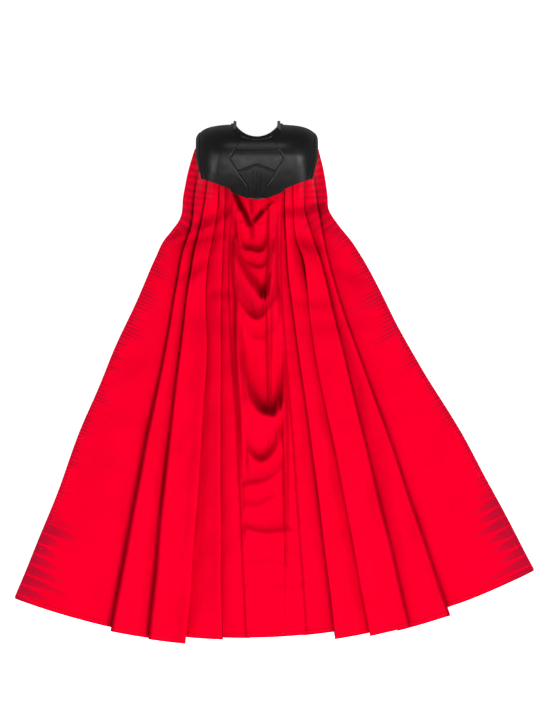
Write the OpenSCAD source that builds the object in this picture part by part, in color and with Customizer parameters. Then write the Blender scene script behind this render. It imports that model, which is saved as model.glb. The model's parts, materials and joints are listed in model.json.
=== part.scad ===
// Superhero cape for a 1:6 scale figure: a black moulded shoulder yoke with a pleated red satin cape
// clamped inside it, laid out on its front. +X runs across the cape, +Y towards the neck and +Z up
// from the table, in millimetres. The origin is on the table, in the middle of the laid-out footprint.

/* [Yoke] */
// Half the width across the shoulders
yoke_half_w = 35.6; // [35:0.1:37]
// Height of the upper back above the table
yoke_h = 33; // [32:0.5:35]
// Depth of the shoulder caps, from the ridge of the back to the front rim
cap_depth = 17.1; // [16.8:0.1:17.5]
// Wall of the moulded shell
wall = 1.4; // [1:0.1:1.5]
// Radius of the neck notch
neck_r = 14.1; // [13.8:0.1:14.3]
// Height of the raised plates above the shell
plate_h = 0.45; // [0.3:0.05:0.6]
// Radius of the two pegs on the collar
peg_r = 0.9; // [0.7:0.05:1]

/* [Cape] */
// Length from the lowest part of the hem to the tips of the pegs
cape_length = 301; // [297:1:307]
// Width between the two hem corners
hem_w = 299.8; // [296:0.2:304]
// Radius of the arc that the hem is cut to
hem_r = 366; // [360:1:375]
// Thickness of one solid layer, which holds the cloth with its air
cloth_t = 0.8; // [0.6:0.1:0.9]
// Overlap of one pleat on the next
lap = 2; // [1.5:0.1:2.4]
// Highest swag of the draped centre above the table
swag_h = 8; // [7:0.5:9]

/* [Fixings] */
// Radius of the clamp screws' shanks
screw_r = 0.55; // [0.5:0.05:0.6]
// Number of clamp screws
screw_count = 4; // [2:1:5]
// Radius of the bendable wire in each side hem
wire_r = 0.4; // [0.3:0.05:0.45]

/* [Hidden] */

shell_black = [0.13, 0.13, 0.13];
satin_red = [0.85, 0.02, 0.08];
print_red = [0.55, 0.02, 0.08];
gap = 0.1;                                // between pieces that lie side by side

// Places along Y. The neck is left of the middle because the cape is laid a little askew.
neck_x = -10.3;
top_y = cape_length / 2;
ridge_y = top_y - 18.7;                   // highest line of the back
waist_y = top_y - 66;                     // where the cape reaches the table and hinges
notch_y = top_y + 4.8;                    // centre of the neck notch's arc

// The yoke's surface
lateral_power = 3;                        // how square the back is from side to side
plan_power = 4;                           // how square the shoulders are from above
profile_power = 2 / 2.4;                  // how square the shoulder caps are from the side
low_fall = 0.264;                         // share of the height lost over low_span below the ridge
low_span = 27.5;
low_crease = 0.45;                        // share of that fall which starts at the ridge, as a crease
armhole_half_w = yoke_half_w - 0.3;
low_half_w = 32;                          // half the width at the two lower corners
low_corner_y = ridge_y - 14.5;
armhole_line = [[low_corner_y, low_half_w], [ridge_y - 1.5, armhole_half_w]];
// Half of the shell's lower edge: distance from the middle, and distance below the ridge
lower_edge = [[0, 26.5], [6, 25.9], [14.7, 22.5], [15.6, 20.7], [23.7, 17.4], [low_half_w, 14.5]];
columns = 44;
rows = 11;                                // below the ridge, and again above it
collar_w = 2.4;
seat = 0.02;                              // clearance of a piece from the shell that it is bonded to
peg_x = 12.6;                             // from the middle of the neck
peg_z = 22;
peg_l = 3;                              // outside its plug
peg_tip_l = 0.5;
plug_r = 1.15;
plug_l = 3.6;                             // through the shell's wall

// The cape's fold lines, from the centre outwards: X at the waist and at the hem
left_folds = [[-25.9, -16.6], [-29.9, -30.8], [-36.2, -51.8], [-44.3, -72], [-51.2, -94.5]];
right_folds = [[3.6, 18.6], [7.6, 35.3], [12.8, 55.5], [21.5, 77.4], [27.8, 100.5]];
hem_centre = [-18, hem_r - cape_length / 2 + 1.3];
// How far each pleat hangs below the hem's arc, from the centre outwards
left_drops = [-1.8, -0.8, 2.9, 2.3];
right_drops = [-1.7, 2.5, 4.3, 5];
centre_drop = -2;
hinge_gap = 0.6;                          // clearance on each side of the waist and of the fold lines
start_y = waist_y - hinge_gap;            // upper edge of the cloth below the waist
top_of_pleat = [cloth_t, 2 * cloth_t + gap, 3 * cloth_t + 2 * gap, 2 * cloth_t + gap];

// Where the two side panels fold: the end at the waist and the end at the hem
left_fold_line = [[-63.4, waist_y - 2.4], [-96.5, -143.5]];
right_fold_line = [[44.5, waist_y - 3.5], [102, -132.5]];
waist_edge_x = [-61.6, 41.9];             // the cape's outer edges at the waist

// The header runs from inside the shell down to the waist
header_seam_x = 12.4;                     // half the width of the draped centre at the top
header_edge_x = 36;                       // half the width at the armholes
header_top = [[0, 111.3], [17.3, 111.3], [24, 118], [header_edge_x, 129]];
header_top_z = [[0, 22.3], [21.4, 22.3], [25, 19], [32, 12], [header_edge_x, 8]];
header_t = 1.6;
header_flare = 1.6;

// The clamp inside the shell
clamp_y = 115;
clamp_l = 31;
clamp_w = 7;
plate_arc_r = 118;
boss_plate_top = 25.6;
boss_plate_t = 1.4;
boss_r = 2;
boss_bottom = 22.5;
tape_z = 21.3;
tape_t = 1.1;
bar_t = 1.6;
bar_z = tape_z - gap - bar_t;
screw_pitch = (clamp_l - 6) / (screw_count - 1);
screw_head_r = 1.5;
screw_head_h = 0.9;
side_hem_w = 2.6;
side_hem_h = 1.4;

// ---- Small helpers ----

function mix(a, b, t) = a + (b - a) * t;
function ease(t) = t * t * (3 - 2 * t);
function dome(x, power) = pow(max(0, 1 - pow(abs(x), power)), 1 / power);
function unit(v) = v / norm(v);
function hem_y(x, drop = 0) = hem_centre[1] - sqrt(hem_r * hem_r - pow(x - hem_centre[0], 2)) - drop;
// Points along the hem's arc
function hem_points(x_from, x_to, drop = 0, steps = 6) =
    [for (i = [0:steps]) let (x = mix(x_from, x_to, i / steps)) [x, hem_y(x, drop)]];
// The line moved sideways by d: to the right of its direction when d is positive
function beside(line, d) =
    let (along = unit(line[1] - line[0]), side = [along[1], -along[0]])
    [for (p = line) p + d * side];
function cross_2d(a, b) = a[0] * b[1] - a[1] * b[0];
function meet(one, two) =
    let (p = one[0], r = one[1] - one[0], q = two[0], s = two[1] - two[0])
    p + r * cross_2d(q - p, s) / cross_2d(r, s);

// A closed solid through rings of equal length, such as the sections of a loft
module loft(rings) {
    n = len(rings[0]);
    last = len(rings) - 1;
    polyhedron(
        points = [for (ring = rings) each ring],
        faces = concat(
            [[for (i = [0:n - 1]) i]],
            [[for (i = [n - 1:-1:0]) last * n + i]],
            [for (k = [0:last - 1], i = [0:n - 1])
                let (j = (i + 1) % n, a = k * n, b = a + n)
                each [[a + i, b + i, b + j], [a + i, b + j, a + j]]]
        ),
        convexity = 6
    );
}

// A closed sheet between two equal grids of points, the upper one first
module sheet_solid(upper, lower) {
    rows_n = len(upper);
    n = len(upper[0]);
    half = rows_n * n;
    rim = concat(
        [for (i = [0:n - 1]) i],
        [for (k = [1:rows_n - 1]) k * n + n - 1],
        [for (i = [n - 2:-1:0]) (rows_n - 1) * n + i],
        [for (k = [rows_n - 2:-1:1]) k * n]
    );
    polyhedron(
        points = concat([for (row = upper) each row], [for (row = lower) each row]),
        faces = concat(
            [for (k = [0:rows_n - 2], i = [0:n - 2]) let (a = k * n + i)
                each [[a, a + n, a + 1], [a + 1, a + n, a + n + 1]]],
            [for (k = [0:rows_n - 2], i = [0:n - 2]) let (a = half + k * n + i)
                each [[a, a + 1, a + n], [a + 1, a + n + 1, a + n]]],
            [for (m = [0:len(rim) - 1]) let (a = rim[m], b = rim[(m + 1) % len(rim)])
                each [[a, b, half + b], [a, half + b, half + a]]]
        ),
        convexity = 8
    );
}

// ---- The moulded yoke ----

// A point of the yoke's surface. across runs from -1 to 1 between the armholes, and along from -1 at
// the lower edge through 0 at the ridge to 1 at the front rim. out is the distance outside the shell.
function yoke_point(across, along, out) =
    let (swell = (yoke_half_w + out) / yoke_half_w, height = yoke_h + out)
    along <= 0
    ? let (
        y = ridge_y + along * lookup(abs(across) * low_half_w, lower_edge),
        u = across * lookup(y, armhole_line),
        t = (ridge_y - y) / low_span,
        z = height * (1 - low_fall * mix(t * t, t, low_crease))
    ) [neck_x + u * swell, y, z * dome(u / yoke_half_w, lateral_power)]
    : let (u = across * armhole_half_w, w = u / yoke_half_w)
        [
            neck_x + u * swell,
            ridge_y + (cap_depth + out) * pow(sin(90 * along), profile_power) * dome(w, plan_power),
            height * pow(cos(90 * along), profile_power) * dome(w, lateral_power)
        ];

// The solid between two offsets of the yoke's surface, over part of its width and length
module yoke_layer(inner, outer, across = [-1, 1], along = [-1, 1], nc = columns, nr = 2 * rows) {
    grid = function (out) [for (k = [0:nr]) [for (i = [0:nc])
        yoke_point(mix(across[0], across[1], i / nc), mix(along[1], along[0], k / nr), out)]];
    sheet_solid(grid(outer), grid(inner));
}

module neck_disc(r, low = -1, high = 45) {
    translate([neck_x, notch_y, low]) cylinder(r = r, h = high - low, $fn = 96);
}

// Keeps what lies over an outline, given as [distance from the middle, distance below the ridge]
module plan_mask(outline) {
    translate([neck_x, ridge_y, 0]) linear_extrude(45) polygon([for (p = outline) [p[0], -p[1]]]);
}

// Both halves of an outline whose points are given from the top down, for the right half
function mirrored(half) = concat(half, [for (i = [len(half) - 1:-1:0]) [-half[i][0], half[i][1]]]);

module shoulder_shell() {
    color(shell_black) difference() {
        yoke_layer(-wall, 0);
        neck_disc(neck_r);
        for (side = [-1, 1]) peg_hole(side);
    }
}

module neck_collar() {
    color(shell_black) difference() {
        intersection() {
            yoke_layer(seat, 2 * plate_h);
            neck_disc(neck_r + collar_w);
        }
        neck_disc(neck_r);
        for (side = [-1, 1]) peg_hole(side);
    }
}

// Runs its children at the peg on one side, with Z along the peg and 0 at the end of its plug
module at_peg(side) {
    translate([neck_x + side * peg_x, top_y - peg_l, peg_z]) rotate([-90, 0, 0]) children();
}

// The hole that a peg's plug fills
module peg_hole(side) {
    at_peg(side) translate([0, 0, -plug_l - 1]) cylinder(r = plug_r + seat, h = plug_l + 2, $fn = 48);
}

// A peg next to the neck, which plugs into the figure's chest armour
module neck_peg(side) {
    color("dimgray") at_peg(side) {
        translate([0, 0, -plug_l]) cylinder(r = plug_r, h = plug_l, $fn = 48);
        cylinder(r = peg_r, h = peg_l - peg_tip_l, $fn = 48);
        translate([0, 0, peg_l - peg_tip_l]) cylinder(r1 = peg_r, r2 = peg_r / 2, h = peg_tip_l, $fn = 48);
    }
}

module nape_plate() {
    color(shell_black) intersection() {
        yoke_layer(seat, plate_h, [-0.4, 0.4], [-0.2, 0.6], 16, 16);
        difference() {
            plan_mask(mirrored([[10.4, -7.5], [12.4, -1.7]]));
            neck_disc(neck_r + collar_w + 0.25);
        }
    }
}

module back_plate() {
    color(shell_black) intersection() {
        yoke_layer(seat, plate_h, [-0.55, 0.55], [-0.75, 0.25], 20, 16);
        plan_mask(mirrored([[0, -1.3], [12.8, -1.3], [15.4, 2.9], [11, 10.6], [0, 6.4]]));
    }
}

// The keystone below the arch
module spine_insert() {
    color(shell_black) intersection() {
        yoke_layer(seat, plate_h, [-0.4, 0.4], [-1, -0.05], 16, 16);
        plan_mask(mirrored([[0, 7.1], [10.7, 11.4], [8, 15.1], [5.2, 18.9], [4, 25.3]]));
    }
}

// Three ribs that run down the keystone
module spine_ribs() {
    rib_w = 0.8;
    color(shell_black) intersection() {
        yoke_layer(plate_h + seat, 2 * plate_h, [-0.2, 0.2], [-1, -0.1], 12, 14);
        union() for (x = [-2.2, 0, 2.2])
            plan_mask([[x - rib_w / 2, 10], [x + rib_w / 2, 10],
                [0.8 * x + rib_w / 2, 23.5], [0.8 * x - rib_w / 2, 23.5]]);
    }
}

module edge_strip(side) {
    band = side > 0 ? [0.925, 0.995] : [-0.995, -0.925];
    color(shell_black) yoke_layer(seat, plate_h, band, [-0.99, 0.985], 3, 2 * rows);
}

module inner_liner() {
    color([0.2, 0.2, 0.22]) difference() {
        yoke_layer(-wall - 1.8, -wall - gap, [-0.8, 0.8], [-0.45, 0.46], 24, 14);
        neck_disc(neck_r + 3);
    }
}

// ---- The clamp inside the shell ----

// Runs its children at each screw's place
module at_screws() {
    for (i = [0:screw_count - 1])
        translate([neck_x + (i - (screw_count - 1) / 2) * screw_pitch, clamp_y, 0]) children();
}

module boss_plate() {
    color("dimgray") difference() {
        union() {
            translate([neck_x, clamp_y + clamp_w / 2, 0]) rotate([90, 0, 0]) linear_extrude(clamp_w)
                intersection() {
                    difference() {
                        translate([0, boss_plate_top - plate_arc_r]) circle(r = plate_arc_r, $fn = 180);
                        translate([0, boss_plate_top - plate_arc_r])
                            circle(r = plate_arc_r - boss_plate_t, $fn = 180);
                    }
                    translate([-clamp_l / 2, boss_bottom]) square([clamp_l, 8]);
                }
            at_screws() translate([0, 0, boss_bottom])
                cylinder(r = boss_r, h = boss_plate_top - boss_plate_t - seat - boss_bottom, $fn = 48);
        }
        at_screws() translate([0, 0, boss_bottom - 1]) cylinder(r = screw_r + 0.05, h = 3.8, $fn = 48);
    }
}

module clamp_bar() {
    color("dimgray") difference() {
        translate([neck_x - clamp_l / 2, clamp_y - clamp_w / 2, bar_z]) cube([clamp_l, clamp_w, bar_t]);
        at_screws() translate([0, 0, bar_z - 1]) cylinder(r = screw_r + 0.15, h = bar_t + 2, $fn = 48);
    }
}

module clamp_screws() {
    color("silver") at_screws() difference() {
        union() {
            translate([0, 0, bar_z - screw_head_h]) cylinder(r = screw_head_r, h = screw_head_h, $fn = 48);
            translate([0, 0, bar_z - 0.1]) cylinder(r = screw_r, h = 4.6, $fn = 48);
        }
        for (turn = [0, 90]) rotate([0, 0, turn])
            translate([-0.9, -0.15, bar_z - screw_head_h - 1]) cube([1.8, 0.3, 1.5]);
    }
}

module header_tape() {
    color("darkred") difference() {
        translate([neck_x - clamp_l / 2, clamp_y - 2.6, tape_z]) cube([clamp_l, 5.6, tape_t]);
        at_screws() translate([0, 0, tape_z - 1]) cylinder(r = screw_r + 0.25, h = 4, $fn = 48);
    }
}

// ---- The cape above the waist ----

// The header's top surface between two columns: X at the top, from the neck, and X at the waist
function header_point(top_u, waist_x, t) =
    let (
        y = mix(lookup(abs(top_u), header_top), waist_y + hinge_gap, t),
        x = mix(neck_x + top_u, waist_x, pow(t, header_flare)),
        z = mix(lookup(abs(top_u), header_top_z), header_t, ease(t))
    ) [x, y, z];

module header(top, waist) {
    cols = 10;
    steps = 10;
    shift = function (drop) [for (k = [0:steps]) [for (i = [0:cols])
        let (p = header_point(mix(top[0], top[1], i / cols), mix(waist[0], waist[1], i / cols), k / steps))
        [p[0], p[1], p[2] - drop]]];
    color(satin_red) sheet_solid(shift(0), shift(header_t));
}

// ---- The cape below the waist ----

// X at y on a fold line, which is given as X at the waist and at the hem
function fold_x(fold, y) = mix(fold[0], fold[1], (start_y - y) / (start_y - hem_y(fold[1])));
// Where the fold line, moved sideways by shift, meets the hem: each step moves along the arc
function hem_x(fold, shift, drop = 0, steps = 3) =
    steps == 0 ? fold[1] + shift
    : shift + fold_x(fold, hem_y(hem_x(fold, shift, drop, steps - 1), drop));

// Plan of a strip of cloth between two fold lines, each moved sideways
function strip_plan(inner, inner_shift, outer, outer_shift, drop) = concat(
    [[inner[0] + inner_shift, start_y], [outer[0] + outer_shift, start_y]],
    hem_points(hem_x(outer, outer_shift, drop), hem_x(inner, inner_shift, drop), drop)
);

// How far inward each layer of a pleat's edge starts: beside the next pleat's cloth, level with the
// gap above that cloth, and higher up. The edge laps over the next pleat, is tucked under it, or is
// a plain seam.
function edge_inset(kind) =
    kind == "over" ? [lap, lap, 0] : kind == "under" ? [gap - lap, gap, gap] : [gap, gap, gap];

// Pleat number n, from the centre outwards, on one side
module pleat(side, n) {
    folds = side < 0 ? left_folds : right_folds;
    drop = (side < 0 ? left_drops : right_drops)[n - 1];
    kinds = [["seam", "under"], ["over", "under"], ["over", "over"], ["under", "over"]][n - 1];
    levels = [0, cloth_t, cloth_t + gap, top_of_pleat[n - 1]];
    color(n % 2 == 0 ? satin_red : satin_red * 0.9) union() for (k = [0:n == 1 ? 0 : 2])
        translate([0, 0, levels[k]]) linear_extrude(levels[k + 1] - levels[k]) polygon(strip_plan(
            folds[n - 1], side * edge_inset(kinds[0])[k], folds[n], -side * edge_inset(kinds[1])[k], drop
        ));
}

// The draped centre: a low mound whose height follows the swags
module cowl_drape() {
    hem = hem_y(0, centre_drop);
    // Each station is a place along Y and the mound's height there
    stations = [[start_y, 2.6], [waist_y - 20, swag_h - 0.4], [40, swag_h], [-20, swag_h - 2],
        [-70, 3.5], [-110, 1.6], [hem, cloth_t]];
    ring = function (y, h) let (
        left = fold_x(left_folds[0], y) + gap,
        right = fold_x(right_folds[0], y) - gap,
        shoulder_h = mix(cloth_t, h, 0.8)
    ) [[left, y, 0], [left, y, cloth_t], [mix(left, right, 0.2), y, shoulder_h],
        [mix(left, right, 0.5), y, h], [mix(left, right, 0.8), y, shoulder_h],
        [right, y, cloth_t], [right, y, 0]];
    color(satin_red) loft([for (s = stations) ring(s[0], s[1])]);
}

// The part of a side panel that lies between the last pleat and the fold line
module gore_strip(side) {
    fold = side < 0 ? left_folds[4] : right_folds[4];
    line = side < 0 ? beside(left_fold_line, -hinge_gap) : beside(right_fold_line, hinge_gap);
    edge_x = waist_edge_x[side < 0 ? 0 : 1];
    tuck = -side * (lap - gap);
    color(print_red) linear_extrude(cloth_t) polygon(concat(
        [[fold[0] + tuck, start_y], [edge_x, start_y], line[0]],
        hem_points(line[1][0], hem_x(fold, tuck))
    ));
}

// Outer edge of a side panel, from the waist to the corner of the hem
function outer_edge(side) =
    let (corner_x = side * hem_w / 2)
    [(side < 0 ? left_fold_line : right_fold_line)[0], [corner_x, hem_y(corner_x)]];
// How far down its outer edge a side panel's hem starts, to stay clear of the fold
hem_start = 16;

module side_panel(side) {
    fold = side < 0 ? beside(left_fold_line, 1) : beside(right_fold_line, -1);
    edge = beside(outer_edge(side), side * (side_hem_w + gap));
    color(print_red) linear_extrude(cloth_t)
        polygon(concat([meet(fold, edge)], hem_points(edge[1][0], fold[1][0])));
}

// Runs its children in the frame of an outer edge: X along it from the waist, Y into the cape
module along_edge(side) {
    edge = outer_edge(side);
    along = unit(edge[1] - edge[0]);
    translate([edge[0][0], edge[0][1], 0]) rotate([0, 0, atan2(along[1], along[0])])
        mirror([0, side > 0 ? 1 : 0, 0]) children();
}

edge_length = function (side) norm(outer_edge(side)[1] - outer_edge(side)[0]);

module side_hem(side) {
    length = edge_length(side) - hem_start;
    color(print_red) along_edge(side) difference() {
        translate([hem_start, 0, 0]) cube([length, side_hem_w, side_hem_h]);
        translate([hem_start - 1, side_hem_w / 2, side_hem_h / 2]) rotate([0, 90, 0])
            cylinder(r = wire_r + 0.05, h = length, $fn = 24);
    }
}

module hem_wire(side) {
    color("silver") along_edge(side) translate([hem_start + 1, side_hem_w / 2, side_hem_h / 2])
        rotate([0, 90, 0]) cylinder(r = wire_r, h = edge_length(side) - hem_start - 3, $fn = 24);
}

shoulder_shell();
neck_collar();
neck_peg(-1);  // left_neck_peg
neck_peg(1);  // right_neck_peg
nape_plate();
back_plate();
spine_insert();
spine_ribs();
edge_strip(-1);  // left_edge_strip
edge_strip(1);  // right_edge_strip
inner_liner();
boss_plate();
clamp_bar();
clamp_screws();
header_tape();
header([-header_edge_x, -header_seam_x - gap], [waist_edge_x[0], left_folds[0][0] - gap]);  // left_header
header([header_seam_x + gap, header_edge_x], [right_folds[0][0] + gap, waist_edge_x[1]]);  // right_header
header([-header_seam_x, header_seam_x], [left_folds[0][0], right_folds[0][0]]);  // cowl_header
cowl_drape();
gore_strip(-1);  // left_gore_strip
gore_strip(1);  // right_gore_strip
pleat(-1, 1);  // left_pleat_1
pleat(-1, 2);  // left_pleat_2
pleat(-1, 3);  // left_pleat_3
pleat(-1, 4);  // left_pleat_4
pleat(1, 1);  // right_pleat_1
pleat(1, 2);  // right_pleat_2
pleat(1, 3);  // right_pleat_3
pleat(1, 4);  // right_pleat_4
side_panel(-1);  // left_side_panel
side_hem(-1);  // left_side_hem
hem_wire(-1);  // left_hem_wire
side_panel(1);  // right_side_panel
side_hem(1);  // right_side_hem
hem_wire(1);  // right_hem_wire
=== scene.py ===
"""The looks of a figure's cape: pleated red satin clamped in a black moulded yoke, laid out on its front.

Lengths are in millimetres until a mesh is made. X runs across the cape, Y towards the neck, Z up.
"""

import json
import math
from functools import partialmethod

import bpy
import numpy as np
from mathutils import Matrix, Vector


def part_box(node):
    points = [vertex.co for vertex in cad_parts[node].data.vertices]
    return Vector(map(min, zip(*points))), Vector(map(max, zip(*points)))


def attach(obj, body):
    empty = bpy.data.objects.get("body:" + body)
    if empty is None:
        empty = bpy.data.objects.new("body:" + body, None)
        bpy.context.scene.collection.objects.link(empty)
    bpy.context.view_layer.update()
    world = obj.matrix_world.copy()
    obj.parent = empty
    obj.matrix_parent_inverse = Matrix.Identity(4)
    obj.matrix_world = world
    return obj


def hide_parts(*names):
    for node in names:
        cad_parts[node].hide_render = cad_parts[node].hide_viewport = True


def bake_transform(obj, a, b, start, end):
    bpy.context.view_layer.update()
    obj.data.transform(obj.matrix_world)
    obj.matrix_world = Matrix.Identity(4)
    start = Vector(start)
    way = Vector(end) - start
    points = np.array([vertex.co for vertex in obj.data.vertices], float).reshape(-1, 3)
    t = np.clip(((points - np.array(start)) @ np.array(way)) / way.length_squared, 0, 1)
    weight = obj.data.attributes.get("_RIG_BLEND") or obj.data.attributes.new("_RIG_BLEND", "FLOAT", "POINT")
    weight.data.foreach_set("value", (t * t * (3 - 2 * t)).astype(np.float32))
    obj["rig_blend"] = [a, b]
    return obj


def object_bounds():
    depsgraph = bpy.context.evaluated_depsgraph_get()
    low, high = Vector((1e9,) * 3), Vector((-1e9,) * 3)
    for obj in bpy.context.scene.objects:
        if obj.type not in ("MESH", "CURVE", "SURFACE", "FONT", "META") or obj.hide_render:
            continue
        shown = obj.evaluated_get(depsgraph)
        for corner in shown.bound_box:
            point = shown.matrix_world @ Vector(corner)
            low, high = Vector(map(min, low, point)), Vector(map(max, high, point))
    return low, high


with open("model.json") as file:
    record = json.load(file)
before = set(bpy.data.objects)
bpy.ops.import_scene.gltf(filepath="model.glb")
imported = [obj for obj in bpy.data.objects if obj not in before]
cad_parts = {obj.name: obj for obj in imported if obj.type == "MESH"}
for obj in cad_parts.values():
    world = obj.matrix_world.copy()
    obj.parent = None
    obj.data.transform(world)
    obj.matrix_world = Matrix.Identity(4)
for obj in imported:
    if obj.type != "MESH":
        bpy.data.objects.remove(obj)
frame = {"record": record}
cad_box = [list(corner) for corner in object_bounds()]

MM = 0.001
SIDES = {"left": -1, "right": 1}


def node_box(node):
    """A CAD node's lowest and highest corners, in millimetres."""
    return [np.array(corner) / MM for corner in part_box(node)]


# ---- Places, from the frame ----

SHELL_LOW, SHELL_HIGH = node_box("shoulder_shell")
NECK_X = (SHELL_LOW[0] + SHELL_HIGH[0]) / 2
TOP_Y = cad_box[1][1] / MM
RIDGE_Y = TOP_Y - 18.7            # the highest line of the back
NOTCH_Y = TOP_Y + 4.8             # centre of the neck notch
HINGE_GAP = 0.6
WAIST_Y = node_box("left_header")[0][1] - HINGE_GAP
HEM_R = 366.0
HEM_CENTRE = (-18.0, HEM_R - TOP_Y + 1.3)
SPLIT_Y = WAIST_Y - 4.5           # below this line a side gore is a piece of its own

# ---- Measures ----

YOKE_HALF_W = 35.6
YOKE_H = 33.0
CAP_DEPTH = 17.1
WALL = 1.4
NECK_R = 14.1
COLLAR_W = 2.4
PLATE_H = 0.32
CLOTH_T = 0.28


# ---- Small helpers ----

def ease(t):
    t = np.clip(t, 0, 1)
    return t * t * (3 - 2 * t)


def mix(a, b, t):
    return a + (b - a) * t


def gauss(d, width):
    return np.exp(-(d / width) ** 2)


def smooth_curve(points):
    """A smooth function through (input, output) points, straight beyond its ends."""
    x, y = np.array(sorted(points), float).T
    slope = np.gradient(y, x)

    def curve(at):
        at = np.asarray(at, float)
        k = np.clip(np.searchsorted(x, at) - 1, 0, len(x) - 2)
        h = x[k + 1] - x[k]
        free = (at - x[k]) / h
        t = np.clip(free, 0, 1)
        value = (
            y[k] * (2 * t**3 - 3 * t**2 + 1) + y[k + 1] * (3 * t**2 - 2 * t**3)
            + slope[k] * h * (t**3 - 2 * t**2 + t) + slope[k + 1] * h * (t**3 - t**2)
        )
        end_slope = np.where(free > 1, slope[k + 1], slope[k])
        return value + end_slope * h * (free - t)

    return curve


def beside_line(x, y, start, end):
    """Share of the way along a line at which each place lies, and how far to the line's left it is."""
    a, b = np.array(start, float), np.array(end, float)
    length = np.linalg.norm(b - a)
    way = (b - a) / length
    along = ((x - a[0]) * way[0] + (y - a[1]) * way[1]) / length
    return along, (x - a[0]) * -way[1] + (y - a[1]) * way[0]


def ripple(x, y, seed, scale):
    """Smooth noise of about -1 to 1 over a plane, with features about scale wide."""
    rng = np.random.default_rng(seed)
    total = np.zeros(np.broadcast(x, y).shape)
    for k in range(7):
        angle = rng.uniform(0, 2 * math.pi)
        length = scale * rng.uniform(0.7, 1.6)
        along = (x * math.cos(angle) + y * math.sin(angle)) * 2 * math.pi / length
        total += np.sin(along + rng.uniform(0, 2 * math.pi))
    return total / 3.2


def hem_y(x, drop=0.0):
    """Y of the hem's arc at x, with drop further down."""
    return HEM_CENTRE[1] - np.sqrt(HEM_R**2 - (x - HEM_CENTRE[0]) ** 2) - drop


# ---- Mesh making ----

def new_piece(name, verts, faces, smooth=True):
    """A mesh object from points in millimetres."""
    mesh = bpy.data.meshes.new(name)
    mesh.from_pydata((np.asarray(verts, float) * MM).tolist(), [], [list(map(int, f)) for f in faces])
    mesh.validate()
    mesh.update()
    mesh.polygons.foreach_set("use_smooth", [smooth] * len(mesh.polygons))
    piece = bpy.data.objects.new(name, mesh)
    bpy.context.scene.collection.objects.link(piece)
    return piece


def set_attribute(piece, name, values):
    attribute = piece.data.attributes.new(name, "FLOAT", "POINT")
    attribute.data.foreach_set("value", np.asarray(values, np.float32).ravel())


def grid_quads(rows, cols):
    """Corner numbers of a grid's faces, facing up when rows run down the cape and columns to +X."""
    a = (np.arange(rows - 1)[:, None] * cols + np.arange(cols - 1)).ravel()
    return np.stack([a, a + cols, a + cols + 1, a + 1], axis=1)


def tube_faces(rings, sides, first=0):
    """The faces of a closed tube whose points run round one ring after another from number first."""
    faces = []
    for k in range(rings - 1):
        for j in range(sides):
            a, b = first + k * sides + j, first + k * sides + (j + 1) % sides
            faces.append((a, b, b + sides, a + sides))
    faces.append(tuple(first + j for j in reversed(range(sides))))
    faces.append(tuple(first + (rings - 1) * sides + j for j in range(sides)))
    return faces


def grid_piece(name, points, keep=None, flip=False, attributes=None):
    """A piece from a rows by columns grid of points, using only the faces where keep is true."""
    rows, cols = points.shape[:2]
    quads = grid_quads(rows, cols)
    if keep is not None:
        quads = quads[keep.ravel()]
    if flip:
        quads = quads[:, ::-1]
    used, quads = np.unique(quads, return_inverse=True)
    quads = quads.reshape(-1, 4)
    piece = new_piece(name, points.reshape(-1, 3)[used], quads)
    for key, values in (attributes or {}).items():
        set_attribute(piece, key, values.ravel()[used])
    return piece


def thicken(piece, thickness, offset=-1.0):
    """Closes a sheet into a thin solid, to the underside unless offset says otherwise."""
    solid = piece.modifiers.new("thickness", "SOLIDIFY")
    solid.thickness = thickness * MM
    solid.offset = offset
    solid.use_even_offset = False
    thin = piece.data
    piece.data = bpy.data.meshes.new_from_object(piece.evaluated_get(bpy.context.evaluated_depsgraph_get()))
    piece.modifiers.clear()
    bpy.data.meshes.remove(thin)
    piece.data.name = piece.name
    piece.data.set_sharp_from_angle(angle=math.radians(55))
    return piece


def resample(points, spacing):
    """Points at an even spacing along a polyline, with the direction at each."""
    points = np.asarray(points, float)
    steps = np.linalg.norm(np.diff(points, axis=0), axis=1)
    arc = np.concatenate([[0], np.cumsum(steps)])
    at = np.arange(spacing / 2, arc[-1], spacing)
    place = np.stack([np.interp(at, arc, points[:, k]) for k in range(3)], axis=1)
    ahead = np.stack([np.interp(at + 0.2, arc, points[:, k]) for k in range(3)], axis=1)
    behind = np.stack([np.interp(at - 0.2, arc, points[:, k]) for k in range(3)], axis=1)
    way = ahead - behind
    return place, way / np.maximum(np.linalg.norm(way, axis=1, keepdims=True), 1e-9)


def stitch_row(name, lines, pitch=1.5, length=1.05, radius=0.085):
    """A row of sewn stitches along each line: short threads that rise out of the cloth and dip back in."""
    sides, rings = 6, 6
    verts, faces = [], []
    for line in lines:
        place, way = resample(line, pitch)
        for p, w in zip(place, way):
            across = np.cross(w, (0, 0, 1))
            across /= max(np.linalg.norm(across), 1e-9)
            up = np.cross(across, w)
            first = len(verts)
            for k in range(rings):
                s = k / (rings - 1)
                centre = p + w * length * (s - 0.5) + up * radius * (1.5 * math.sin(math.pi * s) - 0.7)
                r = radius * (0.55 + 0.45 * math.sin(math.pi * s))
                for j in range(sides):
                    turn = 2 * math.pi * j / sides
                    verts.append(centre + r * (across * math.cos(turn) + up * math.sin(turn)))
            faces += tube_faces(rings, sides, first)
    return new_piece(name, verts, faces)


# ---- Materials ----

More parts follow.
